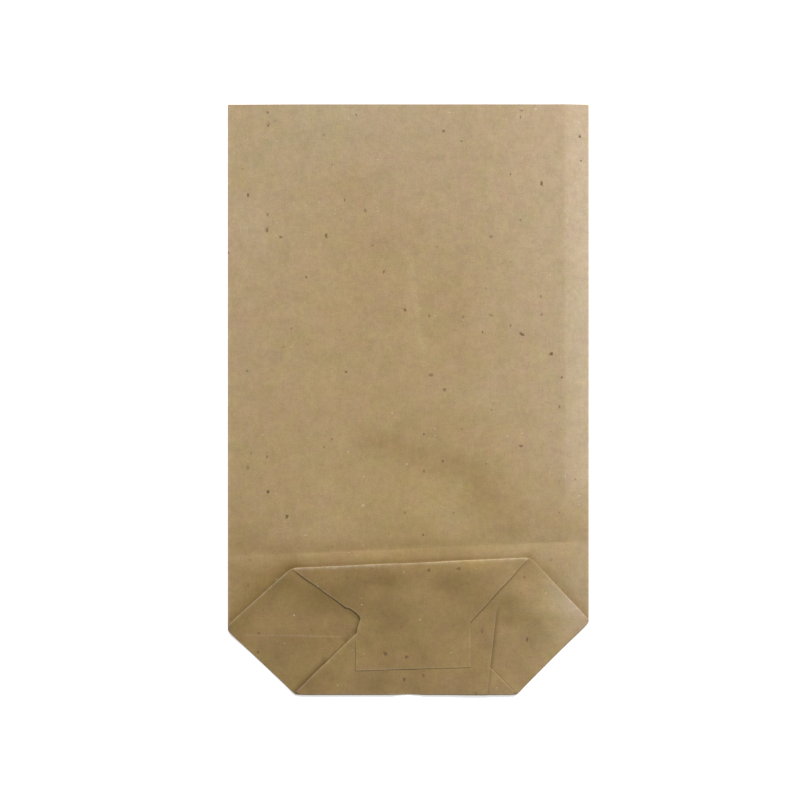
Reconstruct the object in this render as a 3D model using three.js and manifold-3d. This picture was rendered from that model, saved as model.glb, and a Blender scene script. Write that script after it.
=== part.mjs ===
// A brown kraft paper bag with a cross bottom, folded flat and lying on its back with the bottom
// facing up.
//
// One sheet is rolled into a flat tube and pasted along a lengthwise seam in the back. Near one end
// both layers are slit twice. That end is then opened flat: the front layer turns back up over
// itself at the vertex line, and the tube's side folds swing inward as two corner layers. The lower
// flap and then the upper flap are folded over them, and the upper flap's tongue, which lies
// between its two slits, is pasted down on the lower flap.
//
// Millimetres. X runs across the bag, Y from the bottom fold to the mouth and Z up from the surface
// that the bag lies on. The origin is in the middle of the bag's back, at that surface.
import * as THREE from "three";
import Module from "manifold-3d";
import { mergeVertices } from "three/addons/utils/BufferGeometryUtils.js";

const wasm = await Module();
wasm.setup();

// Sheet and tube
const BAG_WIDTH = 165;
const BAG_LENGTH = 270;
const MOUTH_WASTE = 5; // cut off the tube's end, straight through both layers, to make the mouth
const PAPER = 0.1;
const AIR = 0.08; // left between two layers that are pressed together
const SEAM_INSET = 45.9; // from the right side fold to the back sheet's outer raw edge
const SEAM_OVERLAP = 10;
const SEAM_JOG = 1.2; // length over which the inner sheet climbs onto the outer one

// Bottom folds, as insets from the nearer side fold and heights above the bottom fold
const LEFT_VERTEX_HEIGHT = 30;
const RIGHT_VERTEX_HEIGHT = 33.3;
const TOP_LEFT_INSET = 29;
const TOP_LEFT_HEIGHT = 57.4;
const TOP_RIGHT_INSET = 27.3;
const TOP_RIGHT_HEIGHT = 62.2;
const BOTTOM_LEFT_INSET = 30.7;
const BOTTOM_RIGHT_INSET = 32.9;

// Flaps
const TUBE_END = 75.4; // from the vertex line to the tube's cut end
const LEFT_SLIT_INSET = 59.4;
const RIGHT_SLIT_INSET = 54.2;
const UPPER_SHOULDER_HEIGHT = 33.4; // where the upper flap's right side fold ends at its slit
const KNEE_OFFSET = 5.7; // from the left slit to where the upper flap's left side fold ends
const KNEE_HEIGHT = 39.8;
const TONGUE_LEFT_HEIGHT = 10.8;
const TONGUE_RIGHT_HEIGHT = 12.4;
const TONGUE_FLARE = 1.3; // how far the tongue's left corner lies outside the slit
const LOWER_SHOULDER_HEIGHT = 28.1;
const LOWER_FLAP_HEIGHT = 43;
const SEAM_LEAN = 4.2; // how far the seam's edge leans outward over the lower flap's height
const PASTE_MARGIN = 3; // bare paper between the paste and a cut edge

// The left slit's end, where the paper has torn on towards the knee. Each point is an offset from
// the slit, inward, and a drop below the knee.
const TEAR = [
  [-3.6, 0.6],
  [-2, 1.8],
  [-0.5, 3],
  [0.6, 4.4],
  [0.8, 5.6],
  [0.5, 7],
  [0.1, 8.4],
  [-0.6, 12.7],
];

// Front panel
const LEFT_CREASE_HEIGHT = 63.6; // dent across the front, above the bottom's top fold
const RIGHT_CREASE_HEIGHT = 70;
const FRONT_LIFT = 1.2; // how far the front springs up off the back
const LIFT_RUN = 30; // length over which it rises from the dent
const LEFT_ROLL = 45; // width over which it rises from the left side fold
const RIGHT_STRIP = 11; // flat strip that slopes down to the right side fold

// Round edges of the folds
const HEM_BITE = 0.4; // how far one reaches into its two layers
const HEM_PAPER = 0.06; // its own thickness, kept inside the layers' faces
const HEM_REACH = 0.03; // flat length outside the fold line, before it turns round
const HEM_GAP = 0.6; // left open where folds meet
const HEM_SEGMENTS = 8;

// Heights of the layers' undersides, from the back sheet upward
const PITCH = PAPER + AIR;
const BACK = 0;
const BACK_INNER = PITCH;
const FRONT = 2 * PITCH;
const TURNED_UP = 3 * PITCH;
const CORNER = 4 * PITCH;
const CORNER_UNDER_LOWER = 5 * PITCH;
const LOWER_FLAP_INNER = 6 * PITCH;
const LOWER_FLAP = 7 * PITCH;
const CORNER_UNDER_UPPER = 8 * PITCH;
const UPPER_FLAP = 9 * PITCH;

// Fold lines, kept inside the bag's outline by the round edge that stands out from each
const SIDE_RADIUS = HEM_REACH + (FRONT - BACK + HEM_PAPER) / 2;
const BOTTOM_RADIUS = HEM_REACH + (LOWER_FLAP - BACK + HEM_PAPER) / 2;
const LEFT = -BAG_WIDTH / 2 + SIDE_RADIUS;
const RIGHT = BAG_WIDTH / 2 - SIDE_RADIUS;
const BOTTOM = -BAG_LENGTH / 2 + BOTTOM_RADIUS;
const MOUTH = BAG_LENGTH / 2;
const ROLL_END = MOUTH + MOUTH_WASTE;

// A point of the plan, from an inset from one side fold and a height above the bottom fold.
const fromLeft = (inset, height) => new THREE.Vector2(LEFT + inset, BOTTOM + height);
const fromRight = (inset, height) => new THREE.Vector2(RIGHT - inset, BOTTOM + height);

const vertexLeft = fromLeft(0, LEFT_VERTEX_HEIGHT);
const vertexRight = fromRight(0, RIGHT_VERTEX_HEIGHT);
const topLeft = fromLeft(TOP_LEFT_INSET, TOP_LEFT_HEIGHT);
const topRight = fromRight(TOP_RIGHT_INSET, TOP_RIGHT_HEIGHT);
const bottomLeft = fromLeft(BOTTOM_LEFT_INSET, 0);
const bottomRight = fromRight(BOTTOM_RIGHT_INSET, 0);
const knee = fromLeft(LEFT_SLIT_INSET - KNEE_OFFSET, KNEE_HEIGHT);
const rightShoulder = fromRight(RIGHT_SLIT_INSET, UPPER_SHOULDER_HEIGHT);

// The point of the line through a and b at a given x.
function pointAtX(a, b, x) {
  return a.clone().lerp(b, (x - a.x) / (b.x - a.x));
}

// Makes a closed geometry into a solid that can be joined and cut.
function solid(geometry) {
  const bare = new THREE.BufferGeometry();
  bare.setAttribute("position", geometry.getAttribute("position"));
  bare.setIndex(geometry.getIndex());
  const merged = mergeVertices(bare, 1e-5);
  return new wasm.Manifold(
    new wasm.Mesh({
      numProp: 3,
      vertProperties: new Float32Array(merged.attributes.position.array),
      triVerts: new Uint32Array(merged.index.array),
    }),
  );
}

// A slab with the given outline in plan.
function slab(outline, base, thickness) {
  const geometry = new THREE.ExtrudeGeometry(new THREE.Shape(outline), {
    depth: thickness,
    bevelEnabled: false,
  });
  return solid(geometry.translate(0, 0, base));
}

// One flat layer of paper, its underside at the given level.
function panel(outline, level) {
  return slab(outline, level, PAPER);
}

// Paste between two layers, reaching halfway into each.
function paste(outline, lower, upper) {
  return slab(outline, lower + PAPER / 2, upper - lower);
}

// The round edge of a fold between two layers. Its outer side is to the right of the way from one
// end to the other.
function hem(from, to, lower, upper) {
  const middle = (lower + upper + PAPER) / 2;
  const outer = (upper - lower + HEM_PAPER) / 2;
  const inner = outer - HEM_PAPER;
  const profile = new THREE.Shape();
  profile.moveTo(-HEM_BITE, middle - outer);
  profile.absarc(HEM_REACH, middle, outer, -Math.PI / 2, Math.PI / 2, false);
  profile.lineTo(-HEM_BITE, middle + outer);
  profile.lineTo(-HEM_BITE, middle + inner);
  profile.absarc(HEM_REACH, middle, inner, Math.PI / 2, -Math.PI / 2, true);
  profile.lineTo(-HEM_BITE, middle - inner);
  profile.closePath();

  const run = to.clone().sub(from);
  const geometry = new THREE.ExtrudeGeometry(profile, {
    depth: run.length(),
    bevelEnabled: false,
    curveSegments: HEM_SEGMENTS,
  });
  run.normalize();
  const outward = new THREE.Vector3(run.y, -run.x, 0);
  const up = new THREE.Vector3(0, 0, 1);
  const back = new THREE.Vector3(-run.x, -run.y, 0);
  const place = new THREE.Matrix4().makeBasis(outward, up, back).setPosition(to.x, to.y, 0);
  return solid(geometry.applyMatrix4(place));
}

// A fold between two points where it meets other folds, and stops short of them.
function foldBetween(from, to, lower, upper) {
  const gap = to.clone().sub(from).setLength(HEM_GAP);
  return hem(from.clone().add(gap), to.clone().sub(gap), lower, upper);
}

// A layer that isn't flat: a grid of points from place(column, row), thickened upward.
function sheet(columns, rows, place) {
  const positions = [];
  const index = [];
  const across = columns.length;
  const layerSize = across * rows.length;
  for (const lift of [0, PAPER]) {
    for (const row of rows) {
      for (const column of columns) {
        const [x, y, z] = place(column, row);
        positions.push(x, y, z + lift);
      }
    }
  }
  const quad = (a, b, c, d) => index.push(a, b, c, a, c, d);
  for (let r = 0; r < rows.length - 1; r++) {
    for (let c = 0; c < across - 1; c++) {
      const low = r * across + c;
      const high = low + layerSize;
      quad(low, low + across, low + across + 1, low + 1);
      quad(high, high + 1, high + across + 1, high + across);
    }
  }
  const wall = (a, b) => quad(a, b, b + layerSize, a + layerSize);
  const lastRow = (rows.length - 1) * across;
  for (let c = 0; c < across - 1; c++) {
    wall(c, c + 1);
    wall(lastRow + c + 1, lastRow + c);
  }
  for (let r = 0; r < rows.length - 1; r++) {
    wall((r + 1) * across, r * across);
    wall(r * across + across - 1, (r + 1) * across + across - 1);
  }
  const geometry = new THREE.BufferGeometry();
  geometry.setAttribute("position", new THREE.Float32BufferAttribute(positions, 3));
  geometry.setIndex(index);
  return solid(geometry);
}

// Evenly spaced values from one number to another, without the first.
function steps(from, to, count) {
  return Array.from({ length: count }, (_, i) => from + ((to - from) * (i + 1)) / count);
}

function joined(solids) {
  return solids.reduce((whole, next) => whole.add(next));
}

// The back: two sheet edges that overlap in the seam. The outer one is flat on the ground, and the
// inner one climbs onto it. The bottom's lower half is part of this layer.
function backPanel() {
  const seamEdge = RIGHT - SEAM_INSET;
  const seamEnd = seamEdge - SEAM_OVERLAP;
  const foot = seamEdge + SEAM_JOG;
  const outline = [
    bottomLeft,
    bottomRight,
    vertexRight,
    new THREE.Vector2(RIGHT, ROLL_END),
    new THREE.Vector2(LEFT, ROLL_END),
    vertexLeft,
  ];
  const lengthwise = (section) => {
    const geometry = new THREE.ExtrudeGeometry(new THREE.Shape(section), {
      depth: ROLL_END - BOTTOM,
      bevelEnabled: false,
    });
    return solid(geometry.rotateX(Math.PI / 2).translate(0, ROLL_END, 0));
  };
  const at = (x, z) => new THREE.Vector2(x, z);
  const outer = lengthwise([
    at(LEFT, BACK),
    at(seamEdge, BACK),
    at(seamEdge, BACK + PAPER),
    at(LEFT, BACK + PAPER),
  ]);
  const inner = lengthwise([
    at(RIGHT, BACK),
    at(RIGHT, BACK + PAPER),
    at(foot, BACK + PAPER),
    at(seamEdge, BACK_INNER + PAPER),
    at(seamEnd, BACK_INNER + PAPER),
    at(seamEnd, BACK_INNER),
    at(seamEdge, BACK_INNER),
    at(foot, BACK),
  ]);
  const seamPaste = lengthwise([
    at(seamEnd + PASTE_MARGIN, BACK + PAPER / 2),
    at(seamEdge - PASTE_MARGIN, BACK + PAPER / 2),
    at(seamEdge - PASTE_MARGIN, BACK_INNER + PAPER / 2),
    at(seamEnd + PASTE_MARGIN, BACK_INNER + PAPER / 2),
  ]);
  const column = slab(outline, BACK - PAPER, FRONT + PAPER);
  return joined([outer, inner, seamPaste]).intersect(column);
}

// How far the front panel stands above its level where it is pressed flat.
function frontLift(x, height, creaseHeight) {
  const left = THREE.MathUtils.smoothstep(x, LEFT + HEM_BITE, LEFT + LEFT_ROLL);
  const right = THREE.MathUtils.clamp((RIGHT - HEM_BITE - x) / RIGHT_STRIP, 0, 1);
  const along = THREE.MathUtils.smoothstep(height, creaseHeight, creaseHeight + LIFT_RUN);
  return FRONT_LIFT * left * right * along;
}

// The front, from the vertex line to the mouth, with its gentle rise above the dent.
function frontPanel() {
  const columns = [
    LEFT,
    LEFT + HEM_BITE,
    ...steps(LEFT + HEM_BITE, LEFT + LEFT_ROLL, 6),
    ...steps(LEFT + LEFT_ROLL, RIGHT - HEM_BITE - RIGHT_STRIP, 2),
    RIGHT - HEM_BITE,
    RIGHT,
  ];
  const creaseAt = (x) =>
    THREE.MathUtils.mapLinear(x, LEFT, RIGHT, LEFT_CREASE_HEIGHT, RIGHT_CREASE_HEIGHT);
  const rows = [
    (x) => pointAtX(vertexLeft, vertexRight, x).y - BOTTOM,
    creaseAt,
    ...steps(0, LIFT_RUN, 5).map((rise) => (x) => creaseAt(x) + rise),
    () => ROLL_END - BOTTOM,
  ];
  return sheet(columns, rows, (x, heightAt) => {
    const height = heightAt(x);
    return [x, BOTTOM + height, FRONT + frontLift(x, height, creaseAt(x))];
  });
}

// The side folds that make the two panels a tube, and the fold where the front turns back up.
function tubeFolds() {
  return joined([
    foldBetween(new THREE.Vector2(LEFT, ROLL_END), vertexLeft, BACK, FRONT),
    foldBetween(vertexRight, new THREE.Vector2(RIGHT, ROLL_END), BACK, FRONT),
    foldBetween(vertexLeft, vertexRight, FRONT, TURNED_UP),
  ]);
}

// The bottom's upper half, which lies on the front panel.
function turnedUpPanel() {
  return panel([vertexLeft, vertexRight, topRight, topLeft], TURNED_UP);
}

// One opened corner: the layer that the side fold swings in with, and its parts that are folded
// under the two flaps. side is -1 for the left corner and 1 for the right one.
function corner(side, vertex, top, bottom, upperShoulder, lowerShoulder, lowerLevel) {
  const endX = side < 0 ? LEFT + TUBE_END : RIGHT - TUBE_END;
  const topEnd = pointAtX(topLeft, topRight, endX);
  const bottomEnd = new THREE.Vector2(endX, bottom.y);
  const facing = (points) => (side < 0 ? points : [...points].reverse());
  const fold = (a, b, lower, upper) =>
    side < 0 ? foldBetween(a, b, lower, upper) : foldBetween(b, a, lower, upper);
  const layer = facing([vertex, bottom, bottomEnd, topEnd, top]);
  const underUpper = facing([
    top,
    upperShoulder,
    new THREE.Vector2(endX, upperShoulder.y),
    topEnd,
  ]);
  const underLower = facing([
    bottom,
    bottomEnd,
    new THREE.Vector2(endX, lowerShoulder.y),
    lowerShoulder,
  ]);
  return joined([
    panel(layer, CORNER),
    panel(underUpper, CORNER_UNDER_UPPER),
    panel(underLower, CORNER_UNDER_LOWER),
    fold(top, vertex, TURNED_UP, CORNER),
    fold(vertex, bottom, BACK, CORNER),
    fold(topEnd, top, CORNER, CORNER_UNDER_UPPER),
    fold(bottom, bottomEnd, CORNER, CORNER_UNDER_LOWER),
    fold(top, upperShoulder, CORNER_UNDER_UPPER, UPPER_FLAP),
    fold(lowerShoulder, bottom, CORNER_UNDER_LOWER, lowerLevel),
  ]);
}

// The lower flap. Its seam shows: the outer sheet's edge runs up over the right corner, where the
// paste ends, and the inner sheet is folded with the corner.
const seamFoot = fromRight(SEAM_INSET, 0);
const seamInnerFoot = fromRight(SEAM_INSET + SEAM_OVERLAP, 0);
const leftLowerShoulder = fromLeft(LEFT_SLIT_INSET, LOWER_SHOULDER_HEIGHT);
const rightLowerShoulder = new THREE.Vector2(
  seamInnerFoot.x,
  BOTTOM + (SEAM_INSET + SEAM_OVERLAP - BOTTOM_RIGHT_INSET),
);

function lowerFlap() {
  const outer = [
    bottomLeft,
    seamFoot,
    fromRight(SEAM_INSET - SEAM_LEAN, LOWER_FLAP_HEIGHT),
    fromLeft(LEFT_SLIT_INSET, LOWER_FLAP_HEIGHT),
    leftLowerShoulder,
  ];
  const inner = [seamInnerFoot, bottomRight, rightLowerShoulder];
  const pasted = [
    fromRight(SEAM_INSET + SEAM_OVERLAP - PASTE_MARGIN, 0),
    fromRight(SEAM_INSET + PASTE_MARGIN, 0),
    fromRight(SEAM_INSET + PASTE_MARGIN, PASTE_MARGIN),
    fromRight(SEAM_INSET + SEAM_OVERLAP - PASTE_MARGIN, PASTE_MARGIN),
  ];
  return joined([
    panel(outer, LOWER_FLAP),
    panel(inner, LOWER_FLAP_INNER),
    paste(pasted, LOWER_FLAP_INNER, LOWER_FLAP),
    foldBetween(bottomLeft, seamFoot, BACK, LOWER_FLAP),
    foldBetween(fromRight(SEAM_INSET - SEAM_JOG, 0), bottomRight, BACK, LOWER_FLAP_INNER),
    foldBetween(seamInnerFoot, seamFoot, BACK_INNER, LOWER_FLAP_INNER),
  ]);
}

// The upper flap with its tongue, pasted down on the lower flap.
function upperFlap() {
  const tongueLeft = fromLeft(LEFT_SLIT_INSET - TONGUE_FLARE, TONGUE_LEFT_HEIGHT);
  const tongueRight = fromRight(RIGHT_SLIT_INSET, TONGUE_RIGHT_HEIGHT);
  const tear = TEAR.map(([aside, drop]) => fromLeft(LEFT_SLIT_INSET + aside, KNEE_HEIGHT - drop));
  const outline = [topLeft, knee, ...tear, tongueLeft, tongueRight, rightShoulder, topRight];
  const pastedTop = LOWER_SHOULDER_HEIGHT - PASTE_MARGIN;
  const pasted = [
    fromLeft(LEFT_SLIT_INSET + PASTE_MARGIN, pastedTop),
    fromLeft(LEFT_SLIT_INSET + PASTE_MARGIN, TONGUE_LEFT_HEIGHT + PASTE_MARGIN),
    fromRight(RIGHT_SLIT_INSET + PASTE_MARGIN, TONGUE_RIGHT_HEIGHT + PASTE_MARGIN),
    fromRight(RIGHT_SLIT_INSET + PASTE_MARGIN, pastedTop),
  ];
  return joined([
    panel(outline, UPPER_FLAP),
    paste(pasted, LOWER_FLAP, UPPER_FLAP),
    foldBetween(topRight, topLeft, TURNED_UP, UPPER_FLAP),
  ]);
}

function paperBag() {
  const folded = joined([
    backPanel(),
    frontPanel(),
    tubeFolds(),
    turnedUpPanel(),
    corner(-1, vertexLeft, topLeft, bottomLeft, knee, leftLowerShoulder, LOWER_FLAP),
    corner(
      1,
      vertexRight,
      topRight,
      bottomRight,
      rightShoulder,
      rightLowerShoulder,
      LOWER_FLAP_INNER,
    ),
    lowerFlap(),
    upperFlap(),
  ]);
  const waste = slab(
    [
      new THREE.Vector2(-BAG_WIDTH, MOUTH),
      new THREE.Vector2(BAG_WIDTH, MOUTH),
      new THREE.Vector2(BAG_WIDTH, MOUTH + BAG_WIDTH),
      new THREE.Vector2(-BAG_WIDTH, MOUTH + BAG_WIDTH),
    ],
    BACK - MOUTH_WASTE,
    FRONT + FRONT_LIFT + 2 * MOUTH_WASTE,
  );
  const made = folded.subtract(waste).getMesh();
  const geometry = new THREE.BufferGeometry();
  geometry.setAttribute("position", new THREE.BufferAttribute(made.vertProperties, 3));
  geometry.setIndex(new THREE.BufferAttribute(made.triVerts, 1));
  geometry.computeVertexNormals();
  const kraft = new THREE.MeshStandardMaterial({ color: 0xab9168, roughness: 0.85, metalness: 0 });
  const mesh = new THREE.Mesh(geometry, kraft);
  mesh.name = "paper_bag";
  return mesh;
}

const group = new THREE.Group();
group.add(paperBag());

export default group;
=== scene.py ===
"""A brown kraft paper bag with a cross bottom, folded flat and lying on its back.

The bag is folded from one sheet, layer by layer, as the real one is. Sizes are in metres in the
panel and in millimetres inside the functions that fold the paper.
"""

import math
from dataclasses import dataclass
from itertools import count

import bpy
import numpy as np
from bpy.props import FloatProperty, FloatVectorProperty, IntProperty, PointerProperty
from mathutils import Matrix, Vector
from mathutils.geometry import delaunay_2d_cdt


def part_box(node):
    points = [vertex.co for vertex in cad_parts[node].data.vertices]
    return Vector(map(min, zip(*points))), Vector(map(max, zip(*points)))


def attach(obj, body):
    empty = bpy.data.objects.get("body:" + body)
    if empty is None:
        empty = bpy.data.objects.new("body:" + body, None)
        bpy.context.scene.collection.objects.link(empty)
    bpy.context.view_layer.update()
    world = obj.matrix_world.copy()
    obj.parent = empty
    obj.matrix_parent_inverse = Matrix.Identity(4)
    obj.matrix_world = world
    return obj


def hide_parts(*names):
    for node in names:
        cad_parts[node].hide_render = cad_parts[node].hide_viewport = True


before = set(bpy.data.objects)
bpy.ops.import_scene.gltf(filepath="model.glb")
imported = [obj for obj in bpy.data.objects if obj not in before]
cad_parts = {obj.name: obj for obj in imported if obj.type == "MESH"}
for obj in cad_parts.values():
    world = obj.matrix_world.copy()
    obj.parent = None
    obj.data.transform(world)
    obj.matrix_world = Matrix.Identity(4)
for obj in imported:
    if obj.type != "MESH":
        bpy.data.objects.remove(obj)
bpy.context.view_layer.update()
NODE_LOW, NODE_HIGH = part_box("paper_bag")

bl_info = {
    "name": "Cross-bottom paper bag",
    "version": (1, 0, 0),
    "blender": (4, 5, 0),
    "location": "View3D > Sidebar > Paper bag",
    "description": "Folds a flat kraft paper bag with a cross bottom and sets it on a plain stage",
    "category": "Add Mesh",
}

CELL = 0.5  # mm, of the height fields that the layers are draped on
HEM_STEPS = 4

# The torn end of the upper flap's left slit, as offsets from the slit and heights, in mm
KNEE = (-5.7, 39.8)
TORN_SLIT = ((-3.6, 39.3), (-0.5, 36.9), (0.9, 35.4), (1.1, 34.2), (0.2, 31.8), (-0.5, 29.4), (-0.8, 27.1))


def size(name, description, default):
    return FloatProperty(
        name=name, description=description, default=default, unit="LENGTH", precision=4
    )


class BagSizes(bpy.types.PropertyGroup):
    width: size("Width", "Across the flat tube", NODE_HIGH[0] - NODE_LOW[0])
    length: size("Length", "From the bottom fold to the mouth", NODE_HIGH[1] - NODE_LOW[1])
    paper: size("Paper", "Thickness of the sheet", 0.0001)
    air: size("Air", "Left between pressed layers", 0.00007)
    seam_inset: size("Seam inset", "Right side fold to the seam's raw edge", 0.0463)
    seam_overlap: size("Seam overlap", "Width pasted in the back", 0.010)
    left_vertex: size("Left vertex", "Height of the left side vertex", 0.0293)
    right_vertex: size("Right vertex", "Height of the right side vertex", 0.0330)
    top_left_inset: size("Top left inset", "Left end of the bottom's top fold", 0.0290)
    top_left_height: size("Top left height", "Left end of the bottom's top fold", 0.0574)
    top_right_inset: size("Top right inset", "Right end of the bottom's top fold", 0.0273)
    top_right_height: size("Top right height", "Right end of the bottom's top fold", 0.0622)
    bottom_left_inset: size("Bottom left inset", "Left end of the bottom fold", 0.0307)
    bottom_right_inset: size("Bottom right inset", "Right end of the bottom fold", 0.0329)
    tube_end: size("Tube end", "Vertex line to the tube's cut end", 0.0754)
    left_slit: size("Left slit", "Inset of the left slit", 0.0594)
    right_slit: size("Right slit", "Inset of the right slit", 0.0540)
    right_shoulder: size("Right shoulder", "Height where its right slit starts", 0.0331)
    tongue_left: size("Tongue left", "Height of the tongue's left corner", 0.0108)
    tongue_right: size("Tongue right", "Height of the tongue's right corner", 0.0124)
    lower_shoulder: size("Lower shoulder", "Height where the lower flap's slit starts", 0.0281)
    lower_flap: size("Lower flap", "Height of the lower flap's hidden end", 0.043)
    seam_lean: size("Seam lean", "Outward lean of the seam on the lower flap", 0.0048)
    left_crease: size("Left crease", "Height of the front's dent on the left", 0.0630)
    right_crease: size("Right crease", "Height of the front's dent on the right", 0.0700)
    front_lift: size("Front lift", "How far the front springs off the back", 0.0013)
    right_strip: size("Right strip", "Width of the strip along the right side fold", 0.011)


class PaperFinish(bpy.types.PropertyGroup):
    # Painted shade: the dark end of the colour ramp, for the bottom, which lies in less light
    shaded: FloatVectorProperty(
        name="Shaded kraft",
        description="Colour of the bottom, where the bag is pressed and handled",
        subtype="COLOR",
        size=3,
        min=0,
        max=1,
        default=(0.187, 0.108, 0.024),
    )
    colour: FloatVectorProperty(
        name="Kraft",
        description="Mean colour of the paper",
        subtype="COLOR",
        size=3,
        min=0,
        max=1,
        default=(0.374, 0.262, 0.127),
    )
    # Painted light: the pale end of the colour ramp, towards the mouth and along the lit right strip
    lit_kraft: FloatVectorProperty(
        name="Lit kraft",
        description="Colour towards the mouth and on worn folds",
        subtype="COLOR",
        size=3,
        min=0,
        max=1,
        default=(0.482, 0.380, 0.250),
    )
    fleck: FloatVectorProperty(
        name="Fleck",
        description="Colour of the bark flecks",
        subtype="COLOR",
        size=3,
        min=0,
        max=1,
        default=(0.13, 0.075, 0.035),
    )
    roughness: FloatProperty(
        name="Roughness", description="Of the calendered face", default=0.72, min=0, max=1
    )


class StageSettings(bpy.types.PropertyGroup):
    frame_width: size("Frame width", "What the camera sees across", 0.3656)
    camera_height: size("Camera height", "Above the floor", 1.3)
    key_power: FloatProperty(
        name="Key light", description="Power of the soft key light", default=205.0, min=0, unit="POWER"
    )
    seed: IntProperty(name="Seed", description="For the paper's random marks", default=4)


# Folding


def reflect(points, line):
    """Mirrors points across a fold line."""
    start, end = line
    way = (end - start) / np.linalg.norm(end - start)
    away = points - start
    return start + 2 * (away @ way)[:, None] * way - away


def distance(points, start, end):
    """Distance in plan from each point to a segment."""
    way = end - start
    along = np.clip((points - start) @ way / (way @ way), 0, 1)
    return np.linalg.norm(points - start - along[:, None] * way, axis=1)


def inside(points, outline):
    """Whether each point lies inside a closed outline."""
    x, y = points[:, 0], points[:, 1]
    found = np.zeros(len(points), bool)
    for a, b in zip(outline, np.roll(outline, -1, axis=0)):
        if a[1] == b[1]:
            continue
        crosses = (a[1] > y) != (b[1] > y)
        found ^= crosses & (x < (b[0] - a[0]) * (y - a[1]) / (b[1] - a[1]) + a[0])
    return found


def smooth(t):
    t = np.clip(t, 0, 1)
    return t * t * (3 - 2 * t)


@dataclass
class Layer:
    """One flat layer of the folded sheet. folds names the fold on each edge, or None at a cut."""

    name: str
    outline: np.ndarray
    folds: list
    unfold: list
    spacing: float
    upside: bool = True


class Plan:
    """Where the folds lie, in millimetres."""

    def __init__(self, sizes):
        mm = {key: 1000 * getattr(sizes, key) for key in BagSizes.__annotations__}
        self.mm = mm
        pitch = mm["paper"] + mm["air"]
        self.pitch = pitch
        side_radius = pitch
        bottom_radius = 3.4 * pitch
        self.left = -mm["width"] / 2 + side_radius
        self.right = mm["width"] / 2 - side_radius
        self.bottom = -mm["length"] / 2 + bottom_radius
        self.mouth = mm["length"] / 2
        self.vertex_l = self.from_left(0, mm["left_vertex"])
        self.vertex_r = self.from_right(0, mm["right_vertex"])
        self.top_l = self.from_left(mm["top_left_inset"], mm["top_left_height"])
        self.top_r = self.from_right(mm["top_right_inset"], mm["top_right_height"])
        self.bottom_l = self.from_left(mm["bottom_left_inset"], 0)
        self.bottom_r = self.from_right(mm["bottom_right_inset"], 0)

    def from_left(self, inset, height):
        return np.array([self.left + inset, self.bottom + height])

    def from_right(self, inset, height):
        return np.array([self.right - inset, self.bottom + height])

    def crease(self, x):
        """Height of the front's dent above the bottom fold's line."""
        t = (x - self.left) / (self.right - self.left)
        return self.bottom + self.mm["left_crease"] * (1 - t) + self.mm["right_crease"] * t


def at_x(a, b, x):
    """The point of the line through a and b at x."""
    return a + (b - a) * (x - a[0]) / (b[0] - a[0])


def rounded(path):
    """The path with its corners cut, twice, and its ends kept."""
    path = np.array(path)
    for _ in range(2):
        near = path[:-1] * 0.75 + path[1:] * 0.25
        far = path[:-1] * 0.25 + path[1:] * 0.75
        middle = np.stack([near, far], axis=1).reshape(-1, 2)[1:-1]
        path = np.concatenate([path[:1], middle, path[-1:]])
    return path


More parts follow.
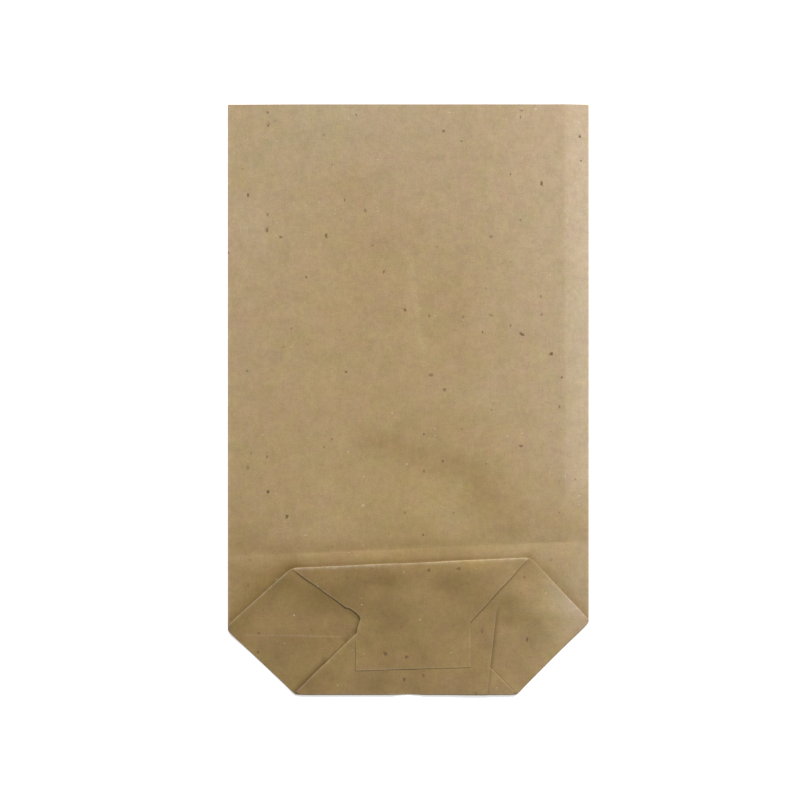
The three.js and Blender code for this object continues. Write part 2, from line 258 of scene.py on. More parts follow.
def bag_layers(p):
    """Every layer of the bag, from the back upwards."""
    mm = p.mm
    mouth_l, mouth_r = np.array([p.left, p.mouth]), np.array([p.right, p.mouth])
    seam = p.right - mm["seam_inset"]
    inner = seam - mm["seam_overlap"]
    end_l, end_r = p.left + mm["tube_end"], p.right - mm["tube_end"]
    slit_l, slit_r = p.left + mm["left_slit"], p.right - mm["right_slit"]
    low = p.bottom

    vertex_line = (p.vertex_l, p.vertex_r)
    top_line = (p.top_l, p.top_r)
    bottom_line = (p.bottom_l, p.bottom_r)
    left_side = (mouth_l, p.vertex_l)
    right_side = (mouth_r, p.vertex_r)
    up_l, up_r = (p.top_l, p.vertex_l), (p.top_r, p.vertex_r)

    top_end_l, top_end_r = at_x(*top_line, end_l), at_x(*top_line, end_r)
    low_end_l, low_end_r = np.array([end_l, low]), np.array([end_r, low])
    knee_l = np.array([slit_l + KNEE[0], low + KNEE[1]])
    torn_l = [np.array([slit_l + dx, low + height]) for dx, height in TORN_SLIT]
    shoulder_r = np.array([slit_r, low + mm["right_shoulder"]])
    tongue_l, tongue_r = tongue_foot(p)
    torn_l = list(rounded([knee_l, *torn_l, tongue_l])[1:-1])
    lower_l = np.array([slit_l, low + mm["lower_shoulder"]])
    lower_r = np.array([inner, low + p.bottom_r[0] - inner])
    seam_foot, inner_foot = np.array([seam, low]), np.array([inner, low])
    seam_tip = np.array([seam + mm["seam_lean"], low + mm["lower_flap"]])
    flap_l = np.array([slit_l + 2.4, low + mm["lower_flap"]])

    def layer(name, points, folds, unfold, spacing):
        return Layer(name, np.array(points), folds, unfold, spacing)

    return [
        layer(
            "back_outer",
            [p.bottom_l, seam_foot, [seam, p.mouth], mouth_l, p.vertex_l],
            ["bottom_outer", None, None, "side_l", "down_l"],
            [left_side],
            4.5,
        ),
        layer(
            "back_inner",
            [inner_foot, p.bottom_r, p.vertex_r, mouth_r, [inner, p.mouth]],
            ["bottom_inner", "down_r", "side_r", None, None],
            [right_side],
            4.5,
        ),
        layer(
            "front",
            [p.vertex_l, p.vertex_r, mouth_r, mouth_l],
            ["vertex", "side_r", None, "side_l"],
            [],
            1.8,
        ),
        layer(
            "turned_up",
            [p.vertex_l, p.vertex_r, p.top_r, p.top_l],
            ["vertex", "up_r", "top", "up_l"],
            [vertex_line],
            2.0,
        ),
        layer(
            "corner_l",
            [p.vertex_l, p.bottom_l, low_end_l, top_end_l, p.top_l],
            ["down_l", "bottom_l", None, "top_l", "up_l"],
            [up_l, vertex_line],
            0.95,
        ),
        layer(
            "corner_r",
            [p.vertex_r, p.top_r, top_end_r, low_end_r, p.bottom_r],
            ["up_r", "top_r", None, "bottom_r", "down_r"],
            [up_r, vertex_line],
            0.95,
        ),
        layer(
            "under_lower_l",
            [p.bottom_l, low_end_l, [end_l, lower_l[1]], lower_l],
            ["bottom_l", None, None, "lower_l"],
            [bottom_line, left_side],
            2.0,
        ),
        layer(
            "under_lower_r",
            [p.bottom_r, lower_r, [end_r, lower_r[1]], low_end_r],
            ["lower_r", None, None, "bottom_r"],
            [bottom_line, right_side],
            2.0,
        ),
        layer(
            "lower_inner",
            [inner_foot, p.bottom_r, lower_r],
            ["bottom_inner", "lower_r", None],
            [bottom_line, right_side],
            0.95,
        ),
        layer(
            "lower_outer",
            [p.bottom_l, seam_foot, seam_tip, flap_l, lower_l],
            ["bottom_outer", None, None, None, "lower_l"],
            [bottom_line, left_side],
            0.95,
        ),
        layer(
            "under_upper_l",
            [p.top_l, knee_l, [end_l, knee_l[1]], top_end_l],
            ["flap_l", None, None, "top_l"],
            [top_line, up_l, vertex_line],
            2.0,
        ),
        layer(
            "under_upper_r",
            [p.top_r, top_end_r, [end_r, shoulder_r[1]], shoulder_r],
            ["top_r", None, None, "flap_r"],
            [top_line, up_r, vertex_line],
            2.0,
        ),
        layer(
            "upper",
            [p.top_l, knee_l, *torn_l, tongue_l, tongue_r, shoulder_r, p.top_r],
            ["flap_l", *[None] * (len(torn_l) + 3), "flap_r", "top"],
            [top_line, vertex_line],
            0.95,
        ),
    ]


def blur(field, radius):
    """Three box blurs, close to a Gaussian whose deviation is the radius in millimetres."""
    half = max(1, round(radius / CELL))
    for axis in (0, 1):
        for _ in range(3):
            pad = [(0, 0), (0, 0)]
            pad[axis] = (half + 1, half)
            total = np.cumsum(np.pad(field, pad, mode="edge"), axis=axis)
            high = np.take(total, range(2 * half + 1, total.shape[axis]), axis=axis)
            low = np.take(total, range(0, total.shape[axis] - 2 * half - 1), axis=axis)
            field = (high - low) / (2 * half + 1)
    return field


def swell(field, radius):
    """The highest value within a few cells."""
    for _ in range(round(radius / CELL)):
        grown = field.copy()
        for axis in (0, 1):
            for way in (-1, 1):
                grown = np.maximum(grown, np.roll(field, way, axis=axis))
        field = grown
    return field


def groove(points, start, end, depth, near, far):
    """A shallow groove along a line. near and far are its widths to the line's left and right."""
    way = (end - start) / np.linalg.norm(end - start)
    side = (points - start) @ np.array([-way[1], way[0]])
    width = np.where(side > 0, near, far)
    past = np.linalg.norm(end - start) / 2
    along = np.abs((points - start) @ way - past) / past
    return -depth * np.exp(-np.sqrt((side / width) ** 2 + 0.06)) * smooth((1.25 - along) / 0.5)


def px(x, y):
    """A place on the bag's plan, read from the picture at 0.457 mm a pixel."""
    return np.array([(x - 408.5) * 0.457, (400 - y) * 0.457])


# Shallow folds of the front: from, to, depth, and width on the left and the right of that way
GROOVES = (
    (px(410, 235), px(425, 350), 0.30, 8.0, 3.0),
    (px(365, 438), px(465, 470), 0.24, 5.0, 9.0),
    (px(452, 466), px(515, 520), 0.10, 7.0, 9.0),
)


def front_rise(p, points):
    """How far the front springs up off the back."""
    mm = p.mm
    x, y = points.T
    strip = mm["right_strip"]
    inset = p.right - x
    soft = 0.35 + 1.6 * smooth((60 - y) / 120)
    ridge = 0.5 * (inset + strip - np.sqrt((inset - strip) ** 2 + soft**2))
    right = np.clip(ridge / strip, 0, 1)
    bulge = 1 + 0.35 * np.exp(-np.maximum(inset - strip, 0) / 9)
    left = smooth((x - p.left) / 40)
    over = y - p.crease(x)
    along = 0.35 + 0.65 * (1 - np.exp(-np.maximum(over, 0) / 18))
    rise = mm["front_lift"] * left * right * bulge * along
    rise -= 0.5 * np.exp(-np.where(over > 0, over / 7, -over / 4)) * left**0.5 * right
    hexagon = [p.vertex_l, p.top_l, p.top_r, p.vertex_r]
    away = np.minimum.reduce([distance(points, a, b) for a, b in zip(hexagon, hexagon[1:])])
    rise = np.maximum(rise, 0) * (1 - np.exp(-((away / 4.5) ** 2)))
    for start, end, depth, near, far in GROOVES:
        rise += groove(points, start, end, depth, near, far)
    rise[inside(points, np.array(hexagon))] = 0
    return np.maximum(rise, 0)


def stand_off(points, start, end, lift, reach):
    return lift * np.exp(-((distance(points, start, end) / reach) ** 2))


def spring(p, name, points):
    """Local lifts of a layer where its folded or cut edge stands off the paper below."""
    if name == "front":
        return front_rise(p, points)
    lift = np.zeros(len(points))
    for names, start, end, height, reach in stand_offs(p):
        if name in names:
            lift += stand_off(points, start, end, height, reach)
    return lift


def tongue_foot(p):
    """The two lower corners of the upper flap's tongue."""
    slit_l, slit_r = p.left + p.mm["left_slit"], p.right - p.mm["right_slit"]
    left = np.array([slit_l - 1.1, p.bottom + p.mm["tongue_left"]])
    return left, np.array([slit_r, p.bottom + p.mm["tongue_right"]])


def stand_offs(p):
    """Where folded or cut edges spring up: layers, segment, height and reach in millimetres."""
    low = p.bottom
    slit_l, slit_r = p.left + p.mm["left_slit"], p.right - p.mm["right_slit"]
    knee = np.array([slit_l + KNEE[0], low + KNEE[1]])
    elbow = np.array([slit_l, low + 33])
    shoulder_r = np.array([slit_r, low + p.mm["right_shoulder"]])
    seam = p.right - p.mm["seam_inset"]
    lower_l = np.array([slit_l, low + p.mm["lower_shoulder"]])
    return [
        (("upper", "under_upper_l"), p.top_l + (knee - p.top_l) * 0.3, knee, -0.05, 4.0),
        (("upper", "under_upper_l"), knee, elbow, 0.06, 4.0),
        (("upper", "under_upper_r"), p.top_r + (shoulder_r - p.top_r) * 0.3, shoulder_r, 0.12, 4.0),
        (("lower_outer", "under_lower_l"), lower_l, p.bottom_l + (lower_l - p.bottom_l) * 0.3, 0.4, 4.0),
        (("lower_outer",), np.array([seam, low + 6]), np.array([seam + 3.9, low + 35]), 0.2, 2.4),
        (("upper",), *tongue_foot(p), -0.05, 3.0),
        (("turned_up", "corner_l"), p.top_l, p.vertex_l + (p.top_l - p.vertex_l) * 0.15, 0.25, 4.0),
        (("turned_up", "corner_r"), p.top_r, p.vertex_r, 0.10, 4.0),
    ]


class Drape:
    """Height fields of all the layers, each one resting on those below it."""

    def __init__(self, p, layers):
        self.low = np.array([-p.mm["width"] / 2 - 4, -p.mm["length"] / 2 - 4])
        high = -self.low
        xs = np.arange(self.low[0], high[0], CELL)
        ys = np.arange(self.low[1], high[1], CELL)
        grid = np.stack(np.meshgrid(xs, ys), axis=-1)
        self.shape = grid.shape[:2]
        points = grid.reshape(-1, 2)
        half = p.mm["paper"] / 2
        top = np.zeros(self.shape)
        self.fields = {}
        for layer in layers:
            reach = {"corner_l": 4.0, "corner_r": 4.0, "back_inner": 1.0, "front": 1.0}.get(
                layer.name, 2.0
            )
            grow = 1.5
            if layer.name.startswith(("corner", "lower", "under_lower")):
                grow = 1.25 * reach
            flat = top if layer.name == "back_outer" else blur(swell(top, grow), reach)
            mask = inside(points, layer.outline).reshape(self.shape)
            field = np.maximum(flat + p.mm["air"], top) + half
            if layer.name == "back_outer":
                field = top + half
            field = field + spring(p, layer.name, points).reshape(self.shape)
            self.fields[layer.name] = field
            covered = swell(mask.astype(float), CELL) > 0
            top = np.where(covered, np.maximum(field + half, top), top)

    def height(self, name, points):
        """A layer's middle surface at each point."""
        place = (points - self.low) / CELL
        place = np.clip(place, 0, np.array(self.shape[::-1]) - 1.001)
        cell = place.astype(int)
        u, v = (place - cell).T
        x, y = cell.T
        field = self.fields[name]
        lower = field[y, x] * (1 - u) + field[y, x + 1] * u
        upper = field[y + 1, x] * (1 - u) + field[y + 1, x + 1] * u
        return lower * (1 - v) + upper * v


def pinches(p):
    """The points where four folds meet, with the layers that come together there."""
    upper_l = ["turned_up", "corner_l", "under_upper_l", "upper"]
    upper_r = ["turned_up", "corner_r", "under_upper_r", "upper"]
    lower_l = ["back_outer", "corner_l", "under_lower_l", "lower_outer"]
    lower_r = ["back_inner", "corner_r", "under_lower_r", "lower_inner"]
    side_l = ["back_outer", "front", "turned_up", "corner_l"]
    side_r = ["back_inner", "front", "turned_up", "corner_r"]
    return [
        (p.top_l, upper_l),
        (p.top_r, upper_r),
        (p.bottom_l, lower_l),
        (p.bottom_r, lower_r),
        (p.vertex_l, side_l),
        (p.vertex_r, side_r),
    ]


PINCH_REACH = 2.2
# How far folds near the left vertex stand outwards at their two ends
BOWS = {"up_l": (0.1, 1.7), "down_l": (0.2, 0.0), "lower_l": (0.25, 0.5), "up_r": (0.7, 0.6)}
WAVER = {"flap_l": 0.1, "top": 0.1, "flap_r": 0.1, "lower_l": 0.08}


def guide_lines(p, name):
    """Lines of a layer that need close points: start, end and how far the points lie aside."""
    found = []
    if name == "front":
        x = p.right - p.mm["right_strip"]
        dent = np.array([p.left, p.crease(p.left)]), np.array([p.right, p.crease(p.right)])
        strip = np.array([x, p.vertex_r[1]]), np.array([x, p.mouth])
        found += [(*dent, (0, 0.3)), (*strip, (0, 0.3)), (*GROOVES[0][:2], (0, 0.5, 1.2, 2.2))]
    for layer, start, end, offset, width, _ in painted_gap_shade(p) + rubs_and_highlights(p):
        if layer == name:
            found.append((start, end, (0, offset, offset + width, offset + 2 * width)))
    return found


class Folder:
    """Gathers the vertices and faces of the sheet's middle surface."""

    def __init__(self, p):
        self.p = p
        self.layers = bag_layers(p)
        self.drape = Drape(p, self.layers)
        self.pinches = [
            (point, names, np.mean([self.drape.height(n, point[None])[0] for n in names]))
            for point, names in pinches(p)
        ]
        self.edges = {}
        self.points = []
        self.paper = []
        # Per-point marks: worn for wear and a painted highlight, pressed for painted gap shade, tone for
        # the paper's tone with painted light and shade, ruddy and cool for tints
        self.marks = {"worn": [], "pressed": [], "tone": [], "ruddy": [], "cool": []}
        self.faces = []

    def height(self, name, points):
        z = self.drape.height(name, points)
        for point, names, level in self.pinches:
            if name in names:
                share = smooth(np.linalg.norm(points - point, axis=1) / PINCH_REACH)
                z = level + (z - level) * share
        return z

    def edge_points(self, key, start, end, spacing):
        """Evenly spaced points along an edge, the same ones for both layers of a fold."""
        if key in self.edges:
            points = self.edges[key]
            return points if np.allclose(points[0], start) else points[::-1]
        count = max(2, math.ceil(np.linalg.norm(end - start) / spacing))
        t = np.linspace(0, 1, count + 1)[:, None]
        points = start * (1 - t) + end * t
        way = (end - start) / np.linalg.norm(end - start)
        waver = np.sin(5.1 * math.pi * t + 0.6) * np.sin(math.pi * t)
        side = np.array([-way[1], way[0]])
        points = points + WAVER.get(key, 0) * waver * side
        if key in BOWS:
            run = t * np.linalg.norm(end - start)
            bow_start, bow_end = BOWS[key]
            ends = (1 - np.exp(-run / 1.2)) * (1 - np.exp(-(run[-1] - run) / 1.2))
            points = points - (bow_start * (1 - t) + bow_end * t) * ends * side
        if key:
            self.edges[key] = points
        return points

    def add(self, points, paper, marks, faces):
        first = len(self.points)
        self.points.extend(points)
        self.paper.extend(paper)
        for name, values in marks.items():
            self.marks[name].extend(values)
        self.faces.extend([tuple(first + i for i in face) for face in faces])

    def unfolded(self, layer, points):
        """Where points of a layer lie on the flat sheet."""
        for line in layer.unfold:
            points = reflect(points, line)
        return points

    def add_layer(self, layer):
        corners = layer.outline
        boundary = []
        rows = []
        inward = []
        for i, key in enumerate(layer.folds):
            start, end = corners[i], corners[(i + 1) % len(corners)]
            spacing = min(layer.spacing, 1.6)
            points = self.edge_points(key, start, end, spacing)
            boundary.extend(points[:-1])
            way = (end - start) / np.linalg.norm(end - start)
            inward = np.array([-way[1], way[0]])
            for step in (0.35, 0.9):
                rows.extend(points + inward * step)
        boundary = np.array(boundary)
        rows = np.array(rows)
        low, high = corners.min(axis=0), corners.max(axis=0)
        s = layer.spacing
        ys = np.arange(low[1], high[1], s * 0.866)
        lattice = [
            np.stack([np.arange(low[0] + (j % 2) * s / 2, high[0], s), np.full_like(
                np.arange(low[0] + (j % 2) * s / 2, high[0], s), y)], axis=1)
            for j, y in enumerate(ys)
        ]
        lattice = np.concatenate(lattice)

        def clear(points, least):
            points = points[inside(points, boundary)]
            gap = np.full(len(points), np.inf)
            for a, b in zip(boundary, np.roll(boundary, -1, axis=0)):
                gap = np.minimum(gap, distance(points, a, b))
            return points[gap >= least - 1e-6]

        inner = clear(lattice, 0.9 + 0.45 * s)
        for start, end, steps in guide_lines(self.p, layer.name):
            inner = inner[distance(inner, start, end) > max(steps) + 0.4]
        for start, end, steps in guide_lines(self.p, layer.name):
            length = np.linalg.norm(end - start)
            way = (end - start) / length
            side = np.array([-way[1], way[0]])
            run = start + way * np.arange(0, length, 1.2)[:, None]
            asides = sorted({step * sign for step in steps for sign in (-1, 1)})
            inner = np.concatenate([inner, *(clear(run + side * step, 1.2) for step in asides)])
        points = np.concatenate([boundary, clear(rows, 0.1), inner])
        loop = [(i, (i + 1) % len(boundary)) for i in range(len(boundary))]
        made = delaunay_2d_cdt([Vector(q) for q in points], loop, [], 1, 1e-5)
        plan = np.array([tuple(v) for v in made[0]])
        z = self.height(layer.name, plan)
        marks = self.marks_of(layer, plan)
        self.add(np.column_stack([plan, z]), self.unfolded(layer, plan), marks, made[2])

    def marks_of(self, layer, points):
        worn = np.zeros(len(points))
        pressed = np.zeros(len(points))
        for i, key in enumerate(layer.folds):
            amount, width = WEAR.get(key, 0), {"top": 0.75, "up_l": 0.3, "lower_l": 0.35}.get(key, 0.5)
            if key is None and layer.name in CUT_WEAR:
                amount, width = CUT_WEAR[layer.name], 0.3
            if amount:
                ends = layer.outline[i], layer.outline[(i + 1) % len(layer.outline)]
                path = self.edges.get(key, ends)
                pieces = zip(path[:-1], path[1:])
                away = np.minimum.reduce([distance(points, *piece) for piece in pieces])
                worn = np.maximum(worn, amount * np.exp(-((away / width) ** 2)))
        # Painted shade: darker lines in the gap shadow beside edges that lie on this layer
        for name, start, end, offset, width, amount in painted_gap_shade(self.p):
            if name == layer.name:
                away = (distance(points, start, end) - offset) / width
                pressed = np.maximum(pressed, amount * np.exp(-(away**2)))
        # Paler lines: rubbed wear, and a painted highlight on the left corner's bend
        for name, start, end, offset, width, amount in rubs_and_highlights(self.p):
            if name == layer.name:
                away = (distance(points, start, end) - offset) / width
                worn = np.maximum(worn, amount * np.exp(-(away**2)))
        tone = tone_and_light_of(self.p, layer.name, points)
        ruddy, cool = tints_of(layer.name, points)
        return {"worn": worn, "pressed": pressed, "tone": tone, "ruddy": ruddy, "cool": cool}

    def add_hem(self, key, lower, upper):
        """Joins two layers with a round edge along their common fold."""
        points = self.edges[key]
        way = points[-1] - points[0]
        way = way / np.linalg.norm(way)
        out = np.array([way[1], -way[0]])
        centre = lower.outline.mean(axis=0)
        if (centre - points[0]) @ out > 0:
            out = -out
        low = self.height(lower.name, points)
        high = self.height(upper.name, points)
        middle, radius = (low + high) / 2, (high - low) / 2
        angles = np.linspace(-math.pi / 2, math.pi / 2, HEM_STEPS + 1)
        rows = []
        for k, angle in enumerate(angles):
            z = middle + radius * math.sin(angle)
            if k == 0:
                z = low
            if k == HEM_STEPS:
                z = high
            reach = radius * math.cos(angle) if 0 < k < HEM_STEPS else 0 * radius
            rows.append(np.column_stack([points + out * reach[:, None], z]))
        n = len(points)
        faces = [
            (k * n + i, k * n + i + 1, (k + 1) * n + i + 1, (k + 1) * n + i)
            for k in range(HEM_STEPS)
            for i in range(n - 1)
        ]
        paper = np.tile(self.unfolded(lower, points), (HEM_STEPS + 1, 1))
        total = (HEM_STEPS + 1) * n
        marks = {
            "worn": np.full(total, WEAR.get(key, 0)),
            "pressed": np.zeros(total),
            "tone": np.tile(tone_and_light_of(self.p, lower.name, points), HEM_STEPS + 1),
        }
        for name, values in zip(("ruddy", "cool"), tints_of(lower.name, points)):
            marks[name] = np.tile(values, HEM_STEPS + 1)
        self.add(np.concatenate(rows), paper, marks, faces)

    def fold(self):
        for layer in self.layers:
            self.add_layer(layer)
        owners = {}
        for layer in self.layers:
            for key in filter(None, layer.folds):
                owners.setdefault(key, []).append(layer)
        for key, (first, second) in owners.items():
            self.add_hem(key, first, second)


WEAR = {
    "top": 0.42,
    "up_l": 0.36,
    "up_r": 0.0,
    "flap_l": 0.2,
    "flap_r": 0.1,
    "lower_l": 0.22,
    "lower_r": 0.1,
    "side_l": 0.3,
    "side_r": 0.3,
    "bottom_outer": 0.12,
    "bottom_inner": 0.12,
    "down_l": 0.0,
    "down_r": 0.0,
}


CUT_WEAR = {"upper": 0.25, "lower_outer": 0.15}


def wash(points, centre, rx, ry):
    """A soft round patch, 1 at its middle."""
    away = (points - centre) / (rx, ry)
    return np.exp(-(away**2).sum(axis=1))


def soft_patches(points, patch_list):
    """Soft paler and darker patches, each given by its place, its radii and how much paler it is."""
    return sum(amount * wash(points, px(x, y), rx, ry) for x, y, rx, ry, amount in patch_list)


FRONT_PATCHES = (
    (440, 512, 14, 8, 0.07),
    (240, 537, 14, 8, -0.13),
    (430, 425, 24, 8, -0.05),
    (480, 400, 12, 12, 0.06),
    (243, 577, 8, 6, -0.13),
    (480, 500, 9, 8, -0.07),
    (488, 472, 7, 5, -0.06),
    (450, 548, 10, 3, -0.06),
    (540, 546, 8, 3, -0.05),
    (240, 546, 8, 3, -0.06),
    (330, 498, 8, 8, 0.04),
    (390, 112, 8, 5, 0.04),
    (302, 556, 8, 6, 0.09),
    (332, 556, 7, 4, -0.09),
    (238, 503, 8, 10, -0.05),
    (345, 185, 12, 10, -0.05),
    (481, 318, 7, 10, 0.05),
    (587, 125, 3, 14, -0.05),
    (450, 530, 9, 6, 0.07),
    (405, 530, 14, 5, -0.05),
    (270, 546, 8, 3, -0.05),
    (315, 112, 16, 6, 0.05),
    (586, 533, 4, 5, -0.06),
    (586, 560, 7, 14, 0.14),
    (497, 560, 14, 5, 0.10),
    (452, 305, 12, 20, -0.05),
    (382, 245, 14, 9, -0.04),
    (530, 557, 20, 3, 0.05),
    (330, 530, 9, 6, 0.08),
    (252, 225, 12, 14, 0.07),
    (586, 270, 4, 60, 0.05),
)
BOTTOM_PATCHES = (
    (390, 582, 7, 6, -0.15),
    (425, 586, 9, 8, 0.07),
    (450, 585, 9, 6, -0.10),
    (478, 562, 14, 5, 0.22),
    (405, 567, 14, 2.5, 0.10),
    (390, 622, 10, 9, -0.12),
    (510, 617, 7, 4, -0.07),
    (508, 600, 7, 5, -0.20),
    (540, 630, 8, 6, -0.04),
    (578, 620, 6, 8, 0.08),
    (255, 622, 11, 7, 0.05),
    (300, 625, 12, 8, 0.03),
    (282, 582, 10, 5, -0.12),
    (272, 660, 9, 7, 0.01),
    (330, 660, 6, 6, 0.05),
    (332, 642, 7, 6, 0.07),
    (360, 657, 8, 8, 0.08),
    (332, 602, 18, 10, -0.15),
    (361, 582, 6, 5, -0.06),
    (300, 577, 5, 4, 0.08),
    (238, 620, 7, 8, -0.10),
    (330, 621, 6, 5, 0.06),
    (508, 632, 8, 7, 0.07),
    (484, 686, 8, 5, 0.09),
    (272, 662, 6, 5, -0.05),
    (325, 580, 6, 4, 0.06),
    (522, 582, 12, 7, 0.12),
    (455, 635, 12, 12, 0.05),
    (480, 600, 5, 5, -0.07),
    (455, 662, 12, 5, 0.08),
    (375, 682, 14, 6, -0.12),
    (302, 680, 7, 5, -0.09),
    (562, 643, 7, 7, 0.20),
    (540, 664, 7, 6, 0.11),
)


def tone_and_light_of(p, name, points):
    """How pale the paper is, with painted light and shade in it: 0.1 where the bottom lies in painted
    shade, about 0.5 on the front, 0.9 at its palest, lit edge."""
    x, y = points.T
    if name in ("front", "back_outer", "back_inner"):
        # Painted light: paler towards the mouth, and towards the right above the bottom, where more light
        # falls
        pale = 0.955 + 0.0008 * (y + 32)
        pale += 0.16 * smooth((x - 28) / 48) * smooth((y + 80) / 60)
        pale -= 0.07 * wash(points, px(375, 270), 28, 60)
        if name == "front":
            # Painted light: the strip along the right side fold, tilted towards the light, is painted
            # paler
            inset = p.right - x
            strip = smooth((p.mm["right_strip"] - inset) / 2.4 + 0.5)
            worn = strip * (0.07 + 0.008 * (p.mm["right_strip"] - inset))
            pale += worn * smooth((y + 62) / 25)
            # Painted shade: darker below the front's dent, except at the right
            pale -= 0.10 * smooth((p.crease(x) - y) / 3 + 0.3) * smooth((60 - x) / 40)
            # Painted shade beside the bottom's upper left fold
            pale -= 0.29 * np.exp(-((distance(points, p.top_l, p.vertex_l) / 8) ** 2))
            # Painted highlight along the lit wall of the front's vertical fold
            pale += 0.055 * np.exp(-((distance(points, px(408, 252), px(423, 350)) / 2.0) ** 2))
            # Paler a little way off the bottom's upper right fold
            pale += 0.16 * np.exp(-((distance(points, p.top_r, p.vertex_r) / 9) ** 2))
            # Painted shade just above the bottom's top fold
            pale -= 0.08 * np.exp(-((distance(points, p.top_l, p.top_r) / 4) ** 2))
            # Painted shade along the front's shallow diagonal fold
            band = np.minimum(
                distance(points, px(370, 442), px(470, 470)),
                distance(points, px(470, 470), px(514, 528)),
            )
            band = (0.15 - 0.05 * smooth((x - 20) / 20)) * np.exp(-((band / 6.5) ** 2))
            pale -= band
            pale += soft_patches(points, FRONT_PATCHES)
            # Painted light and shade of the front's dent: paler below it, darker just above it on the
            # left, paler just above it on the right
            under = p.crease(x) - y
            pale += 0.05 * smooth((under + 0.6) / 1.2) * smooth((7 - under) / 5)
            pale -= 0.08 * np.exp(-(((under + 1.8) / 2.5) ** 2)) * smooth((35 - x) / 30)
            pale += 0.04 * smooth((under + 0.3) / 0.8) * smooth((4 - under) / 3) * smooth(-x / 20)
            pale += 0.03 * np.exp(-(((under + 2.5) / 2.5) ** 2)) * smooth((x - 25) / 10)
            # Painted shade close beside the bottom's upper right fold
            beside = distance(points, p.top_r, p.vertex_r)
            pale -= 0.27 * np.exp(-((beside / 4.2) ** 2))
        return pale - 0.4
    # Painted light and shade on the bottom: darker at the left, paler towards the right where more light
    # falls, and a little paler towards the bottom fold
    pale = 0.60 - 0.03 * smooth((-20 - x) / 20) + 0.05 * smooth((-60 - y) / 50)
    pale += 0.46 * smooth((x - 50) / 26) * smooth((y + 118) / 25)
    pale += 0.10 * smooth((x - 30) / 20)
    # Painted shade in the dip just above the vertex line on the right corner, and painted light above it
    if name == "corner_r":
        above = y - at_x(p.vertex_l, p.vertex_r, 0)[1] - 0.02 * x
        pale -= 0.09 * np.exp(-(((above - 2.0) / 3.2) ** 2)) * smooth((x - 38) / 8)
        pale += 0.05 * wash(points, px(530, 598), 16, 4)
    pale += soft_patches(points, BOTTOM_PATCHES)
    return pale - 0.4


def tints_of(name, points):
    """How much redder and how much bluer the paper is than its tone alone makes it."""
    x, y = points.T
    if name in ("front", "back_outer", "back_inner"):
        ruddy = 0.01 * smooth((x - 40) / 20) - 0.01
        ruddy -= 0.02 * wash(points, px(575, 550), 18, 14) + 0.04 * wash(points, px(584, 592), 7, 12)
        ruddy += 0.03 * wash(points, px(560, 125), 14, 25) - 0.03 * wash(points, px(325, 130), 35, 20)
        cool = 0.07 * wash(points, px(395, 150), 45, 45) - 0.11 * wash(points, px(420, 515), 45, 30)
        cool += 0.05 * wash(points, px(240, 340), 12, 40) + 0.08 * wash(points, px(584, 592), 7, 12)
        cool -= 0.04 * np.exp(-((distance(points, px(408, 252), px(423, 350)) / 2.3) ** 2))
        dented = wash(points, px(390, 560), 55, 8)
        return ruddy + 0.035 * dented, cool + 0.03 - 0.05 * dented
    patch_sum = soft_patches(points, BOTTOM_PATCHES)
    ruddy = 0.3 * patch_sum - 0.02 - 0.01 * smooth((-50 - x) / 20)
    ruddy -= 0.03 * smooth((x - 50) / 15) * (1 - wash(points, px(582, 615), 10, 10))
    cool = 0.04 - patch_sum * (1 - 0.7 * smooth((x - 20) / 30))
    cool -= 0.05 * wash(points, px(545, 590), 14, 14) - 0.08 * wash(points, px(586, 618), 8, 10)
    cool -= 0.04 * wash(points, px(370, 635), 22, 14)
    return ruddy, cool + 0.05 * smooth((-y - 130) / 4) + 0.04 * smooth((20 - np.abs(x - 31)) / 9) * smooth((-y - 124) / 6)


def painted_gap_shade(p):
    """Lines of painted shade where an edge lies on a layer: the shadow in the gap beside the edge is
    painted darker into the layer below, with a little real darkening of fibre pressed there. Given as
    layer, segment, how far the shaded line is from the segment, its width and its strength."""
    low = p.bottom
    seam = p.right - p.mm["seam_inset"]
    seam_foot, seam_tip = np.array([seam, low]), np.array([seam + 4.2, low + 38])
    lower_l = np.array([p.left + p.mm["left_slit"], low + p.mm["lower_shoulder"]])
    lower_r = p.bottom_r + np.array([-11.0, 11.0])
    slit_l = p.left + p.mm["left_slit"]
    knee = np.array([slit_l + KNEE[0], low + KNEE[1]])
    elbow, foot = np.array([slit_l + 1.0, low + 34.8]), np.array([slit_l - 0.8, low + 28.6])
    shoulder_r = np.array([p.right - p.mm["right_slit"], low + p.mm["right_shoulder"]])
    return [
        ("corner_l", p.top_l, knee, 0.8, 0.5, 0.3),
        ("corner_l", knee, elbow, 0.7, 0.7, 0.9),
        ("corner_l", elbow, foot, 0.6, 0.7, 1.0),
        ("corner_l", foot, foot - 4.0, 1.0, 1.0, 0.8),
        ("corner_r", p.top_r, shoulder_r, 0.5, 0.6, 0.3),
        ("front", p.top_l, p.top_r, 1.0, 0.7, 0.5),
        ("front", p.top_l, p.vertex_l + (-1.1, 1.2), 0.9, 0.8, 0.45),
        ("front", p.top_r, p.vertex_r, 0.6, 0.9, 0.15),
        ("corner_l", p.bottom_l, (p.bottom_l + lower_l) / 2, 1.0, 1.2, 1.4),
        ("corner_l", p.bottom_l, lower_l, 0.5, 0.6, 1.0),
        ("corner_r", seam_foot, seam_tip, 0.3, 1.0, 0.9),
        ("lower_inner", seam_foot, seam_tip, 0.3, 0.6, 0.5),
        ("corner_r", p.bottom_r, lower_r, 0.5, 0.3, 0.5),
    ]


